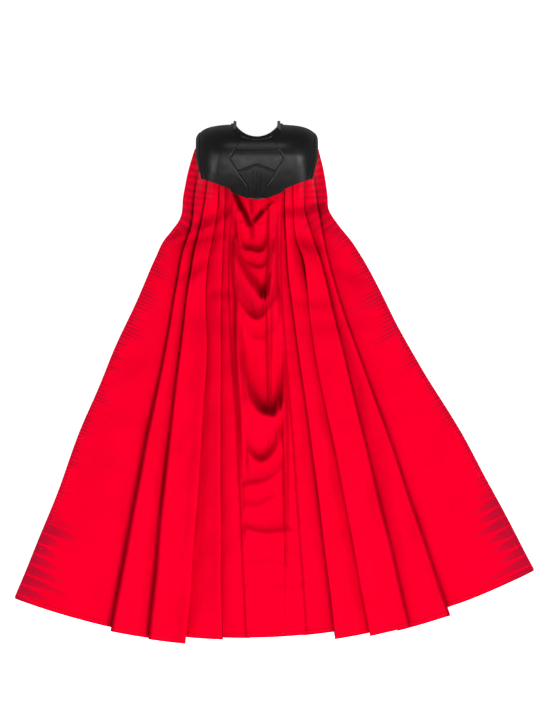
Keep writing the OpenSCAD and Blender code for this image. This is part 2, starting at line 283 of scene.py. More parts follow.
class Shader:
    """A node material with a Principled shader, built by short calls."""

    def __init__(self, name):
        self.material = bpy.data.materials.new(name)
        self.material.use_nodes = True
        self.tree = self.material.node_tree
        self.nodes = self.tree.nodes
        self.shader = self.nodes["Principled BSDF"]

    def set(self, **values):
        for key, value in values.items():
            self.shader.inputs[key.replace("_", " ")].default_value = value
        return self

    def link(self, source, target):
        self.tree.links.new(source, target)

    def feed(self, socket, value):
        if hasattr(value, "is_linked"):
            self.link(value, socket)
        elif value is not None:
            socket.default_value = value

    def attribute(self, name):
        node = self.nodes.new("ShaderNodeAttribute")
        node.attribute_name = name
        return node.outputs["Fac"]

    def position(self):
        return self.nodes.new("ShaderNodeTexCoord").outputs["Object"]

    def math(self, operation, a, b=None, c=None, clamp=False):
        node = self.nodes.new("ShaderNodeMath")
        node.operation = operation
        node.use_clamp = clamp
        for socket, value in zip(node.inputs, (a, b, c)):
            self.feed(socket, value)
        return node.outputs[0]

    plus = partialmethod(math, "ADD")
    minus = partialmethod(math, "SUBTRACT")
    times = partialmethod(math, "MULTIPLY")
    over = partialmethod(math, "DIVIDE")

    def combine(self, x=0.0, y=0.0):
        node = self.nodes.new("ShaderNodeCombineXYZ")
        for socket, value in zip(node.inputs, (x, y)):
            self.feed(socket, value)
        return node.outputs[0]

    def stretch(self, value, low, high, to_low=0.0, to_high=1.0, smooth=True):
        node = self.nodes.new("ShaderNodeMapRange")
        node.interpolation_type = "SMOOTHSTEP" if smooth else "LINEAR"
        for socket, v in zip(node.inputs, (value, low, high, to_low, to_high)):
            self.feed(socket, v)
        return node.outputs["Result"]

    def noise(self, vector, scale, detail=3.0, roughness=0.55):
        node = self.nodes.new("ShaderNodeTexNoise")
        self.link(vector, node.inputs["Vector"])
        node.inputs["Scale"].default_value = scale
        node.inputs["Detail"].default_value = detail
        node.inputs["Roughness"].default_value = roughness
        return node.outputs["Fac"]

    def random(self, value):
        node = self.nodes.new("ShaderNodeTexWhiteNoise")
        node.noise_dimensions = "1D"
        self.feed(node.inputs["W"], value)
        return node.outputs["Value"]

    def blend_colour(self, factor, a, b):
        node = self.nodes.new("ShaderNodeMix")
        node.data_type = "RGBA"
        self.feed(node.inputs["Factor"], factor)
        for socket, value in ((node.inputs["A"], a), (node.inputs["B"], b)):
            if hasattr(value, "is_linked"):
                self.link(value, socket)
            else:
                socket.default_value = (*value, 1.0)
        return node.outputs["Result"]

    def colour(self, value):
        self.link(value, self.shader.inputs["Base Color"])
        return self

    def roughness(self, value):
        self.link(value, self.shader.inputs["Roughness"])
        return self

    def bump(self, height, strength, distance_mm, normal=None):
        node = self.nodes.new("ShaderNodeBump")
        node.inputs["Strength"].default_value = strength
        node.inputs["Distance"].default_value = distance_mm * MM
        self.link(height, node.inputs["Height"])
        if normal is not None:
            self.link(normal, node.inputs["Normal"])
        self.link(node.outputs["Normal"], self.shader.inputs["Normal"])
        return node.outputs["Normal"]


SATIN_RED = (0.78, 0.0, 0.019)
SATIN_DEEP = (0.68, 0.0, 0.015)
PRINT_RED = (0.33, 0.004, 0.022)
FOLD_SHADE_RED = (0.12, 0.0, 0.002)     # painted shade in folds, swag pockets, grooves, the hem's underside and under the yoke; also a thin darker line along each seam
SATIN_TINT = (1.0, 0.0, 0.08, 1.0)
THREAD_PITCH = 0.22               # of the weave


def woven_height(s, u, v, pitch):
    """Height of a satin weave: long floats along v, with a dip where each one passes under."""
    row = s.over(u, pitch)
    column = s.over(v, pitch)
    thread = s.math("ABSOLUTE", s.math("SINE", s.times(row, math.pi)))
    # Each thread dips once in five, two threads further along than its neighbour
    step = s.plus(s.times(s.math("FLOOR", row), 2.0), column)
    dip = s.math("FRACT", s.over(step, 5.0))
    under = s.stretch(s.math("ABSOLUTE", s.minus(dip, 0.5)), 0.34, 0.5, 1.0, 0.15)
    return s.times(thread, under)


def print_mask(s):
    """The stripes printed along a gore's outer edge: feathered wedges that reach inward in clusters."""
    edge_d = s.attribute("edge_d")
    edge_s = s.attribute("edge_s")
    zone = s.attribute("zone")
    corner = s.math("MAXIMUM", zone, 0.0)
    upper = s.math("MAXIMUM", s.times(zone, -1.0), 0.0)
    wobble = s.noise(s.combine(s.times(edge_d, 0.12), edge_s), 0.35, 3.0)
    along = s.plus(edge_s, s.times(s.minus(wobble, 0.5), 1.6))

    def stripes(pitch, shift, reach_low, reach_high, cluster, width, soft):
        turn = s.plus(s.over(along, pitch), shift)
        share = s.math("FRACT", turn)
        number = s.math("FLOOR", turn)
        rise = s.math("FRACT", s.over(edge_s, cluster))
        random = s.random(number)
        swell = s.plus(s.times(rise, 0.75), 0.25)
        amount = s.times(swell, s.plus(random, 0.35))
        reach = s.stretch(amount, 0.0, 1.2, reach_low, reach_high, smooth=False)
        inward = s.over(edge_d, reach)
        half = s.times(s.math("POWER", s.minus(1.0, inward, clamp=True), 0.35), width)
        off_middle = s.math("ABSOLUTE", s.minus(share, 0.5))
        body = s.stretch(s.minus(half, off_middle), -0.02, soft)
        return s.times(body, s.stretch(inward, 0.1, 1.0, 1.0, 0.3))

    fine = stripes(2.1, 0.0, 0.8, 15.0, 20.0, 0.40, 0.24)
    broad = stripes(6.4, 0.35, 14.0, 36.0, 90.0, 0.50, 0.12)
    bars = stripes(4.0, 0.1, 18.0, 34.0, 30.0, 0.42, 0.28)
    middle = s.minus(1.0, s.plus(corner, upper))
    mask = s.plus(s.times(fine, middle), s.times(broad, corner))
    mask = s.plus(mask, s.times(s.times(bars, upper), 0.8))
    grain = s.combine(s.times(edge_d, 0.35), s.times(edge_s, 1.6))
    speckle = s.noise(grain, 1.6, 4.0, 0.7)
    return s.times(mask, s.stretch(speckle, 0.22, 0.62, 0.5, 1.0), clamp=True)


def satin(name, printed=False):
    s = Shader(name)
    u, v = s.attribute("weave_u"), s.attribute("weave_v")
    cloth = s.combine(u, v)
    broad = s.noise(cloth, 0.035, 4.0)
    slub = s.noise(s.combine(s.times(u, 2.6), s.times(v, 0.12)), 1.0, 3.0)
    shade = s.plus(s.stretch(broad, 0.3, 0.7, 0.0, 0.55), s.stretch(slub, 0.35, 0.75, 0.0, 0.35))
    colour = s.blend_colour(shade, SATIN_RED, SATIN_DEEP)
    if printed:
        colour = s.blend_colour(print_mask(s), colour, PRINT_RED)
    # Painted shade: fold_shade darkens the satin towards the shade red
    colour = s.blend_colour(s.times(s.attribute("fold_shade"), 0.85, clamp=True), colour, FOLD_SHADE_RED)
    s.colour(colour)
    s.roughness(s.stretch(s.noise(cloth, 0.3, 4.0), 0.3, 0.7, 0.40, 0.52))
    s.set(IOR=1.24, Specular_IOR_Level=0.5, Specular_Tint=SATIN_TINT, Sheen_Weight=0.15, Sheen_Roughness=0.35,
          Sheen_Tint=(1.0, 0.0, 0.06, 1.0))
    weave = s.bump(woven_height(s, u, v, THREAD_PITCH), 0.35, 0.03)
    s.bump(s.noise(cloth, 0.22, 4.0, 0.5), 0.35, 0.35, weave)
    return s.material


def plain_cloth(name, light, dark, pitch):
    """A matt woven tape or felt."""
    s = Shader(name)
    place = s.position()
    fibres = s.noise(place, 900.0, 5.0, 0.7)
    s.colour(s.blend_colour(s.stretch(fibres, 0.3, 0.7), light, dark))
    s.roughness(s.stretch(fibres, 0.2, 0.8, 0.8, 0.95))
    s.set(Sheen_Weight=0.3)
    wave = s.nodes.new("ShaderNodeTexWave")
    wave.inputs["Scale"].default_value = 1.0 / (pitch * MM) / 20
    wave.inputs["Distortion"].default_value = 2.0
    s.link(place, wave.inputs["Vector"])
    first = s.bump(wave.outputs["Fac"], 0.4, 0.05)
    s.bump(fibres, 0.5, 0.08, first)
    return s.material


def moulded_plastic(name, light, dark, shine):
    """Moulded black plastic: a fine spark texture, broad uneven gloss, dust and hairline scuffs."""
    s = Shader(name)
    place = s.position()
    cloud = s.noise(place, 60.0, 4.0)
    s.colour(s.blend_colour(s.stretch(cloud, 0.3, 0.7), light, dark))
    scuff_place = s.nodes.new("ShaderNodeMapping")
    scuff_place.inputs["Scale"].default_value = (40.0, 900.0, 300.0)
    scuff_place.inputs["Rotation"].default_value = (0.2, 0.1, 0.6)
    s.link(place, scuff_place.inputs["Vector"])
    scuffs = s.stretch(s.noise(scuff_place.outputs[0], 1.0, 2.0), 0.66, 0.74)
    uneven = s.stretch(s.noise(place, 180.0, 5.0, 0.6), 0.3, 0.7, shine - 0.05, shine + 0.06)
    s.roughness(s.plus(uneven, s.times(scuffs, 0.12)))
    s.set(Specular_IOR_Level=0.4)
    grain = s.bump(s.noise(place, 2600.0, 2.0), 0.18, 0.02)
    s.bump(scuffs, 0.15, 0.02, grain)
    return s.material


def metal(name, colour, rough):
    s = Shader(name)
    place = s.position()
    tone = s.noise(place, 700.0, 3.0)
    s.colour(s.blend_colour(tone, colour, tuple(0.7 * c for c in colour)))
    s.roughness(s.stretch(tone, 0.3, 0.7, rough - 0.08, rough + 0.1))
    s.set(Metallic=1.0)
    s.bump(s.noise(place, 3000.0, 2.0), 0.2, 0.01)
    return s.material


def sewing_thread(name, light, dark):
    s = Shader(name)
    place = s.position()
    ply = s.nodes.new("ShaderNodeTexWave")
    ply.bands_direction = "DIAGONAL"
    ply.inputs["Scale"].default_value = 900.0
    s.link(place, ply.inputs["Vector"])
    s.colour(s.blend_colour(ply.outputs["Fac"], light, dark))
    s.roughness(s.stretch(s.noise(place, 500.0), 0.3, 0.7, 0.45, 0.6))
    s.set(Sheen_Weight=0.2, Specular_IOR_Level=0.3, Specular_Tint=SATIN_TINT)
    s.bump(ply.outputs["Fac"], 0.5, 0.03)
    return s.material


def dress(piece, material):
    piece.data.materials.clear()
    piece.data.materials.append(material)
    return piece


def fit_to_yoke(piece, node):
    """Makes the piece stand in for a CAD node of the yoke and move with it."""
    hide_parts(node)
    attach(piece, "yoke")


red_satin = satin("red satin")
printed_satin = satin("printed red satin", printed=True)
red_thread = sewing_thread("red thread", (0.62, 0.0, 0.02), (0.42, 0.0, 0.014))
blacks = (0.0045, 0.0045, 0.0047), (0.003, 0.003, 0.0031)
shell_plastic = moulded_plastic("black shell plastic", *blacks, 0.33)
trim_plastic = moulded_plastic("black trim plastic", *blacks, 0.34)
peg_plastic = moulded_plastic("dark peg plastic", (0.060, 0.060, 0.075), (0.045, 0.045, 0.055), 0.45)
clamp_plastic = moulded_plastic("grey clamp plastic", (0.070, 0.070, 0.072), (0.055, 0.055, 0.057), 0.5)
steel = metal("zinc plated steel", (0.62, 0.62, 0.64), 0.32)
wire_metal = metal("annealed wire", (0.50, 0.50, 0.52), 0.4)
felt = plain_cloth("black felt", (0.030, 0.030, 0.034), (0.018, 0.018, 0.020), 0.6)
tape_cloth = plain_cloth("dark red tape", (0.40, 0.004, 0.02), (0.26, 0.002, 0.014), 0.5)


# ---- The cape's base shape ----

# The header's top line inside the yoke, by distance from the neck's middle: its Y, and its height
header_top_y = smooth_curve([
    (0, 111.8), (12, 111.8), (15.2, 112.2), (17.5, 115.5), (21, 118.5), (26, 121), (31, 126), (34.4, 133),
    (36, 135.2), (42, 138)])
header_top_z = smooth_curve([
    (0, 21), (12, 21), (21.4, 21), (27, 19), (32, 14.5), (34, 11.2), (35.5, 7.6), (37, 6.3), (44, 6)])
HANG = 1.75                       # how the header hangs: steep at the top and shallow at the waist


def base_height(x, y):
    """Height of the lowest cloth: flat on the table below the waist, and rising into the yoke above it."""
    u = np.abs(x - NECK_X)
    top_y = header_top_y(u)
    share = np.clip((y - WAIST_Y + 3) / (top_y - WAIST_Y + 3), 0, 1.05)
    return header_top_z(u) * share**HANG


def painted_yoke_shadow(x, y):
    """Painted shadow: how dark the cloth is painted close under the yoke's lower edge."""
    return 0.42 * ease((y - header_top_y(np.abs(x - NECK_X)) + 13) / 10)


# Soft buckles across the pleats below the yoke: ends of each line, half width, depth
BUCKLES = [
    ((-63, 84), (-45, 90), 2.6, -1.9),
    ((-46, 89.6), (-32, 95.4), 2.5, -2.3),
    ((-33, 95), (-19, 103), 2.5, -2.3),
    ((-58, 79), (-26, 87), 2.5, -1.5),
    ((-55, 58.5), (-39, 70), 2.6, -1.6),
    ((-52, 70), (-28, 77), 4.0, 0.9),
    ((-40, 51.3), (-25, 52.2), 2.4, -1.3),
    ((-62, 36), (-24, 33), 4.5, -0.6),
    ((2, 97.2), (20, 98.8), 2.6, -2.2),
    ((18, 98.6), (33, 104), 2.6, -2.4),
    ((11, 84.2), (28, 75), 2.6, -1.7),
    ((12, 90), (40, 82), 4.0, 1.0),
    ((30, 66), (50, 58), 3.2, -1.0),
    ((8, 47), (34, 45), 3.0, -0.9),
    ((10, 30), (60, 36), 4.5, -0.6),
]


def buckles(x, y):
    """Height of the buckles, and the painted shade in their troughs."""
    total = np.zeros(np.broadcast(x, y).shape)
    shade = total.copy()
    for start, end, width, depth in BUCKLES:
        along, off = beside_line(x, y, start, end)
        fade = ease((along + 0.15) / 0.4) * ease((1.15 - along) / 0.4)
        total += depth * fade * gauss(off, width)
        shade = np.maximum(shade, -0.24 * depth * fade * gauss(off - 0.6, width * 1.1))
    return total, shade


def lie(x, y):
    """Height at which the lowest cloth lies, a little off the table or its header slope."""
    loose = 0.5 + 0.35 * ripple(x, y, 3, 60) + 0.18 * ripple(x, y, 4, 22)
    near_hem = ease((y + 112) / -30) * 0.6 * (0.5 + 0.5 * ripple(x, y * 0.4, 5, 26))
    near_waist = 1.3 * gauss(y - 72, 34)
    return np.maximum(base_height(x, y) + loose + near_waist + buckles(x, y)[0] + 0.9 + near_hem, 0.25)


# ---- Pleats ----

# Where each line crosses Y. The seam borders the draped centre, the folds are the pleats' edges
# counted outwards, and the edge is the cape's own.
LINES = {
    "left": {
        "seam": [(112, -24.3), (101, -24.7), (84, -25.9), (-43, -21.2), (-148, -16.6)],
        "fold1": [(112, -28.9), (97, -29.2), (84, -29.9), (-43, -31.4), (-148, -30.8)],
        "fold2": [
            (113, -32.8), (97, -33.9), (84, -36.2), (67.7, -39.3), (54.2, -40.1), (21.6, -39.8),
            (-43, -43.6), (-149, -51.8),
        ],
        "fold3": [
            (115, -38.5), (103, -40.3), (84, -44.3), (75.9, -46.2), (56.9, -49.4), (40.6, -51.5),
            (-43, -61.6), (-148, -72),
        ],
        "fold4": [
            (119, -44.2), (109.8, -45.8), (90.8, -47.9), (75.9, -52.8), (54.2, -56.6), (35.2, -59.9),
            (-43, -75.2), (-146, -94.5),
        ],
        "edge": [
            (136, -45.2), (133, -46.2), (122, -49.5), (107.6, -52.4), (93.2, -54.9), (86.8, -59.6),
            (81.6, -63.7), (72.4, -68.2), (54, -76.2), (31, -86.6), (-16.3, -107.2), (-69.9, -127.6),
            (-124.9, -149.9),
        ],
    },
    "right": {
        "seam": [(112, 4.3), (101, 4.1), (84, 3.6), (-43, 11.1), (-148, 18.6)],
        "fold1": [
            (112, 6), (98.9, 6.1), (81.3, 6.9), (62.3, 8.2), (46, 10.2), (21.6, 13.4), (-43, 22.5),
            (-148, 35.3),
        ],
        "fold2": [
            (113, 10.8), (101, 11.2), (88, 11.9), (81.3, 13.1), (73.2, 16.3), (56.9, 19), (40.6, 20.4),
            (21.6, 23), (-43, 36.2), (-145, 55.5),
        ],
        "fold3": [(113, 16.8), (99, 17.4), (84, 21.7), (73, 25.4), (40.6, 33.6), (-43, 54), (-140, 77.4)],
        "fold4": [(117, 22.5), (107, 23.8), (84, 27.8), (-43, 69.6), (-134, 100.5)],
        "edge": [
            (134, 24.9), (123.8, 27.5), (107.6, 30.1), (99, 31), (90.9, 36.2), (80.5, 44.5), (72.4, 49.7),
            (54, 59.9), (31, 71.3), (10.7, 82.8), (-36.6, 111.5), (-63.8, 125.9), (-109.3, 149.9),
        ],
    },
}
CURVES = {
    side: {name: smooth_curve(points) for name, points in lines.items()} for side, lines in LINES.items()
}
# How far below the hem's arc each panel hangs, from the centre outwards, and the gore
DROPS = {"left": (-1.8, -0.8, 2.9, 2.3, 0.0), "right": (-1.7, 2.5, 4.3, 5.0, 0.0)}
CENTRE_DROP = -2.0


def layer_height(y):
    """Height from one layer of cloth to the next: the folds are flatter at the waist than at the hem."""
    return 0.55 + 0.75 * ease((WAIST_Y - y) / 150)


# The path of the cloth's section, from the seam outwards: line, laps beyond it, layer and panel.
# A change of layer with no move is a pressed fold.
PATH = [
    ("seam", -0.35, 0, 0), ("fold1", 0, 0, 0), ("fold1", 1, 0, 0),
    ("fold1", 1, 1, 0.5), ("fold1", 0, 1, 1),
    ("fold1", 0, 2, 1), ("fold1", 1, 2, 1), ("fold2", 0, 0, 1), ("fold2", 1, 0, 1),
    ("fold2", 1, 1, 1.5), ("fold2", 0, 1, 2),
    ("fold2", 0, 2, 2), ("fold2", 1, 2, 2), ("fold3", -1, 2, 2), ("fold3", 0, 2, 2),
    ("fold3", 0, 1, 2), ("fold3", -1, 1, 2.5),
    ("fold3", -1, 0, 3), ("fold3", 0, 0, 3), ("fold4", -1, 2, 3), ("fold4", 0, 2, 3),
    ("fold4", 0, 1, 3), ("fold4", -1, 1, 3.5),
    ("fold4", -1, 0, 4), ("fold4", 0, 0, 4), ("edge", 0, 0, 4),
]
TURN_STEPS = 5
LAP_STEPS = 4
RUN_STEPS = 15
GORE_STEPS = 36
UPPER_ROWS = 40
LOWER_ROWS = 130
HEM_TURN = 2.6                    # width of the bottom hem's turned edge
HEM_ROWS = np.array([4.6, 3.6, 3.0, 2.7, 2.5, 2.0, 1.3, 0.6, 0.0])     # the last rows, above the hem's edge
STITCH_ROW = 4                    # the row of stitches, counted back from the last


def lap_width(y):
    """Depth of a pressed fold: narrow at the waist and wider towards the hem."""
    return 1.9 + 5.0 * ease((WAIST_Y - y) / 240)


def section_path():
    """The section's points: the two lines each lies between and the share between them, its laps, layer and
    panel, how far a pressed fold rounds outwards there, and how much the panel is free to billow."""
    points = []
    way = 1
    for run, (a, b) in enumerate(zip(PATH, PATH[1:])):
        across = a[0] != b[0]
        turn = not across and a[1] == b[1]
        if not turn:
            way = 1 if across or b[1] > a[1] else -1
        if across:
            steps = GORE_STEPS if b[0] == "edge" else RUN_STEPS
        else:
            steps = TURN_STEPS if turn else LAP_STEPS
        for i in range(steps):
            f = i / steps
            rise = (1 - math.cos(math.pi * f)) / 2
            points.append((a[0], b[0], f if across else 0, mix(a[1], b[1], f), mix(a[2], b[2], rise),
                           mix(a[3], b[3], f), way * math.sin(math.pi * f) if turn else 0,
                           math.sin(math.pi * f) if across else 0, run))
    line, laps, layer, panel = PATH[-1]
    points.append((line, line, 0, laps, layer, panel, 0, 0, len(PATH) - 2))
    return points


# The folds that stand up, each with the runs of the section that lie on top beside it
RAISED = {"fold1": (4, 5, 6), "fold2": (10, 11, 12), "fold3": (12, 13, 14), "fold4": (18, 19, 20)}
# The runs that lie below and beside each fold
SUNKEN = {"fold1": (0,), "fold2": (6,), "fold3": (18,), "fold4": (24,)}
# Where a fold stands up more: middle and reach along Y, and how much more
PINCHES = {
    "left": {"fold2": [(62, 14, 0.8)], "fold3": [(72, 12, 0.8)], "fold4": [(96, 12, 1.2)]},
    "right": {"fold2": [(68, 11, 2.4)], "fold1": [(92, 10, 0.8)], "fold4": [(98, 10, 1.0)]},
}
SECTION = section_path()
FROM_LINE, TO_LINE, SHARE, LAPS, LAYERS, PANELS, ROUNDING, FREE, RUNS = (
    np.array(values) for values in zip(*SECTION))
GORE_START = int(np.argmax(RUNS == len(PATH) - 2))
TOP_RUNS = (0, 1, 5, 6, 7, 10, 11, 12, 13, 17, 18, 19, 24)     # the runs that show from above


def turned_hem(above_edge):
    """Extra height where the bottom hem is turned up."""
    return 0.24 * ease((HEM_TURN + 0.1 - above_edge) / 0.3)


def seam_gathers(off, y, seed):
    """Small gathers beside a seam, off from it."""
    return 0.28 * gauss(off, 5) * ripple(y, off * 0.3, seed, 6.5)


class HalfCape:
    """The pleats and the gore of one side, as one grid of points."""

    def __init__(self, side_name):
        self.name = side_name
        self.side = SIDES[side_name]
        self.curves = CURVES[side_name]
        drops = np.interp(PANELS, range(5), DROPS[side_name])
        count = len(SECTION)
        top = self.settle(np.full(count, 118.0), lambda x: header_top_y(np.abs(x - NECK_X)))
        hem = self.settle(np.full(count, -140.0), lambda x: hem_y(x, drops))

        # Rows, as shares of the way from the top to the split, and then to the hem with fine rows near it
        length = SPLIT_Y + 142
        lower = np.concatenate([np.linspace(1, 6 / length, LOWER_ROWS)[1:], HEM_ROWS / length])
        upper = np.linspace(0, 1, UPPER_ROWS + 1)
        y = np.concatenate([mix(top, SPLIT_Y, upper[:, None]), mix(hem, SPLIT_Y, lower[:, None])])
        x = np.array([self.place_x(row) for row in y])
        # The pressed edges wander a little
        x = x + 0.25 * ripple(x, y, 11, 45) * ease((WAIST_Y - y) / 30)
        soft = 0.15 + 0.45 * ripple(x, y, 21 + self.side, 30)
        off_seam = np.abs(x - self.curves["seam"](y))
        z = lie(x, y) + LAYERS * layer_height(y) + FREE * soft + turned_hem(y - hem)
        relief, shade = self.fold_relief(x, y)
        z = z + relief
        z = z + seam_gathers(off_seam, y, 31 + self.side) * (PANELS == 0)
        self.points = np.stack([x, y, np.maximum(z, 0.2)], axis=2)
        self.hem_row = len(y) - STITCH_ROW
        self.attributes = {**self.surface_places(x, y), "fold_shade": shade}

    def fold_relief(self, x, y):
        """The folds puff up, and the cloth beside each one sinks under it and gets painted shade there."""
        relief = np.zeros(x.shape)
        # Painted shade: in the buckles' troughs, and full on the runs hidden under the folds
        shade = buckles(x, y)[1] + 0.8 * ~np.isin(RUNS, TOP_RUNS)
        puff = 1.1 + 1.3 * ease((WAIST_Y - y) / 210)
        depth = 0.42 + 0.25 * gauss(y - 72, 45)
        for name in RAISED:
            off = x - self.curves[name](y)
            uneven = 1 + 0.35 * ripple(y, y * 0, 81 + ord(name[-1]) + self.side, 55)
            for at, reach, extra in PINCHES[self.name].get(name, ()):
                uneven = uneven + extra * gauss(y - at, reach)
            on_top = np.isin(RUNS, RAISED[name]) * np.clip(LAYERS - 1, 0, 1)
            on_top = np.where(np.isin(RUNS, (6, 18)) & np.isin(RUNS, RAISED[name]), 1, on_top)
            relief += on_top * puff * uneven * gauss(off, 5.0)
            sunken = np.isin(RUNS, SUNKEN[name])
            relief -= sunken * puff * (0.4 * gauss(off, 5.0) + 0.3 * gauss(off, 1.5))
            # Painted shade on the sunken cloth beside the fold
            dark = 0.34 * gauss(off, 4.0) + 0.95 * gauss(off, 0.9)
            shade = np.maximum(shade, sunken * depth * uneven * dark)
        # A thin darker line along the seam
        shade = np.maximum(shade, 0.5 * gauss(x - self.curves["seam"](y), 0.8) * np.isin(RUNS, (0,)))
        return relief, np.maximum(shade, painted_yoke_shadow(x, y))

    def place_x(self, y):
        a = np.array([self.curves[name](at) for name, at in zip(FROM_LINE, y)])
        b = np.array([self.curves[name](at) for name, at in zip(TO_LINE, y)])
        outward = LAPS * lap_width(y) + ROUNDING * layer_height(y) / 2
        return mix(a, b, SHARE) + self.side * outward

    def settle(self, y, target):
        """Y at which each column meets a line that is given by X."""
        for _ in range(5):
            y = target(self.place_x(y))
        return y

    def surface_places(self, x, y):
        """Places on the cloth for the shader: across and along the weave, and from the printed edge."""
        z = self.points[..., 2]
        steps = np.sqrt(np.diff(x, axis=1) ** 2 + np.diff(z, axis=1) ** 2)
        across = np.concatenate([np.zeros((len(x), 1)), np.cumsum(steps, axis=1)], axis=1)
        return {"weave_u": across, "weave_v": -y, **self.printed_places(x, y)}

    def printed_places(self, x, y):
        """Distance from the outer edge, place along it, and zone of the printed pattern."""
        edge = self.curves["edge"]
        ys = np.linspace(136, -134, 900)
        arc = np.concatenate([[0], np.cumsum(np.hypot(np.diff(edge(ys)), np.diff(ys)))])
        slope = (edge(y + 4) - edge(y - 4)) / 8
        cosine = 1 / np.sqrt(1 + slope**2)
        d = np.maximum((edge(y) - x) * self.side * cosine, 0)
        s = np.interp(-(y + d * np.abs(slope) * cosine), -ys, arc)
        corner_y = hem_y(self.side * 149.9)
        zone = ease((corner_y + 52 - (y + d * np.abs(slope))) / 12) - ease((y - 84) / 5)
        reach = 0.75 + 0.9 * gauss(y - 42, 28) + 0.25 * ripple(y, y * 0, 91, 34)
        return {"edge_d": d / np.maximum(reach, 0.4), "edge_s": s + 400 * (self.side + 1), "zone": zone}

    def piece(self, name, in_side_panel):
        rows, cols = self.points.shape[:2]
        keep = np.zeros((rows - 1, cols - 1), bool)
        keep[UPPER_ROWS:, GORE_START:] = True
        if not in_side_panel:
            keep = ~keep
        piece = grid_piece(name, self.points, keep, flip=self.side < 0, attributes=self.attributes)
        return thicken(piece, CLOTH_T, 0.0)

    def edge_line(self, upper, inset, lift=0.0):
        """Points down the outer edge, moved into the cape by inset and up by lift."""
        line = self.points[:UPPER_ROWS + 1, -1] if upper else self.points[UPPER_ROWS:, -1]
        way = np.gradient(line[:, :2], axis=0)
        way /= np.linalg.norm(way, axis=1, keepdims=True)
        inward = np.stack([-way[:, 1], way[:, 0]], axis=1)
        inward *= -np.sign(inward[:, :1] * self.side)
        return line + np.column_stack([inward * inset, np.full(len(line), lift)])

    def hem_lines(self):
        """The visible panels' lines of stitches along the bottom hem."""
        lines = []
        row = self.points[self.hem_row]
        for run in TOP_RUNS:
            at = np.nonzero(RUNS == run)[0]
            line = row[at[0]:at[-1] + 2] + (0, 0, CLOTH_T / 2)
            lines.append((run, line))
        return lines


halves = {name: HalfCape(name) for name in SIDES}


# ---- The draped centre ----

# Crest of each swag from left to right, its height, and how far it falls off inside and outside the swag
SWAGS = [
    ([(-22.4, 86), (-20.6, 80), (-13.3, 74.6), (-4, 77.4), (0.4, 87)], 4.4, 3.2, 5),
    ([(-23.2, 77), (-18, 69), (-12.2, 65.2), (-4, 67.2), (0.6, 76)], 3.4, 3.2, 4.8),
    ([(-24.6, 72), (-18.4, 60.5), (-13.3, 53), (-7.4, 46.4), (-3.9, 49.5), (-2.4, 62), (1.6, 78)],
     9.5, 5.4, 7),
    ([(-22.5, 47), (-16.4, 38.3), (-10.2, 35.0), (-2.6, 40.6), (4.6, 51)], 5.6, 4.2, 6),
    ([(-20, 30), (-14, 25.5), (-7, 24), (2, 30)], 1.6, 3.4, 5),
    ([(-23.2, 22), (-17.6, -5.5), (-12.2, -16), (-4.5, -20.8), (2, -19), (6.2, -7.5), (7.6, 8)],
     9.5, 6.2, 8.5),
    ([(-17, -40), (-12.5, -45), (-6.2, -46.6), (0.2, -41), (6.8, -29)], 4.4, 4.2, 6),
    ([(-19, -61), (-12, -59.5), (-4, -57.4), (5, -50)], 2.2, 3.6, 5),
    ([(-20, -71), (-10, -72.5), (0, -67)], 1, 3.2, 4.4),
    ([(-19, -84.2), (-8, -87.4), (9.5, -86.4)], 1.7, 2.6, 6.5),
    ([(-17, -106.5), (-6, -105), (9, -108)], 0.6, 3, 5),
    ([(-12, -122.5), (2, -120), (14, -122)], 0.5, 3, 5),
]
# Grooves: ends, half width, depth
COWL_GROOVES = [
    ((-24.0, 110), (-18.4, 99.5), 1.7, -5.0),
    ((-18.6, 100.5), (-13.8, 90), 1.5, -4.6),
    ((-0.6, 105), (-6.4, 99.6), 1.0, -2.6),
    ((-6, 100), (-12.8, 92.5), 1.3, -4.0),
    ((-14.4, 106.5), (-13.0, 96), 0.9, -2.0),
    ((-13.3, 92), (-13.1, 83), 1.2, -2.2),
    ((-24.6, 98), (-22.6, 84), 1.3, -1.8),
    ((-22.8, 86), (-19.4, 77), 1.3, -1.2),
    ((-3.2, 63), (-4.4, 49), 1.0, -2.2),
    ((-23.6, 60), (-23.0, 20), 1.8, -1.0),
    ((-17.4, -12), (-19.0, 20), 1.8, -1.2),
]
COWL_BULGES = [
    ((-9.9, 108), (-9.6, 97), 2.4, 2.6),
    ((-19.8, 93), (-16.8, 84), 2.2, 1.6),
    ((-7.4, 92), (-6.4, 85), 3.0, 1.2),
    ((-1.2, 99), (0.4, 84), 1.8, 1.4),
    ((-0.8, 80), (1.0, 44), 2.2, 2.6),
]
COWL_COLS = 88
COWL_ROWS = 560
OVERHANG = 0.10                   # how far a crest leans over the pocket, for each unit of its height


def line_field(x, y, items):
    total = np.zeros(np.broadcast(x, y).shape)
    for start, end, width, height in items:
        along, off = beside_line(x, y, start, end)
        total += height * ease((along + 0.1) / 0.3) * ease((1.1 - along) / 0.3) * gauss(off, width)
    return total


def swag_height(x, y):
    """Height of the swags, each a roll steep on its inner side, and the painted shade in the pocket inside
    each.
    """
    total = np.zeros(np.broadcast(x, y).shape)
    shade = total.copy()
    for crest, height, inside, outside in SWAGS:
        line = smooth_curve(crest)
        slope = (line(x + 0.4) - line(x - 0.4)) / 0.8
        d = (y - line(x)) / np.sqrt(1 + slope**2)
        roll = np.where(d > 0, gauss(d, inside), gauss(d, outside))
        ends = ease((x - crest[0][0] + 1.5) / 3.5) * ease((crest[-1][0] + 1.5 - x) / 3.5)
        total += (height * roll * ends) ** 3
        t = np.maximum(d, 0) / (0.62 * inside)
        shade = np.maximum(shade, min(height / 6.5, 1.0) * ends * t * np.exp(1 - t) / (1 + slope**2) ** 0.7)
    return total ** (1 / 3), shade


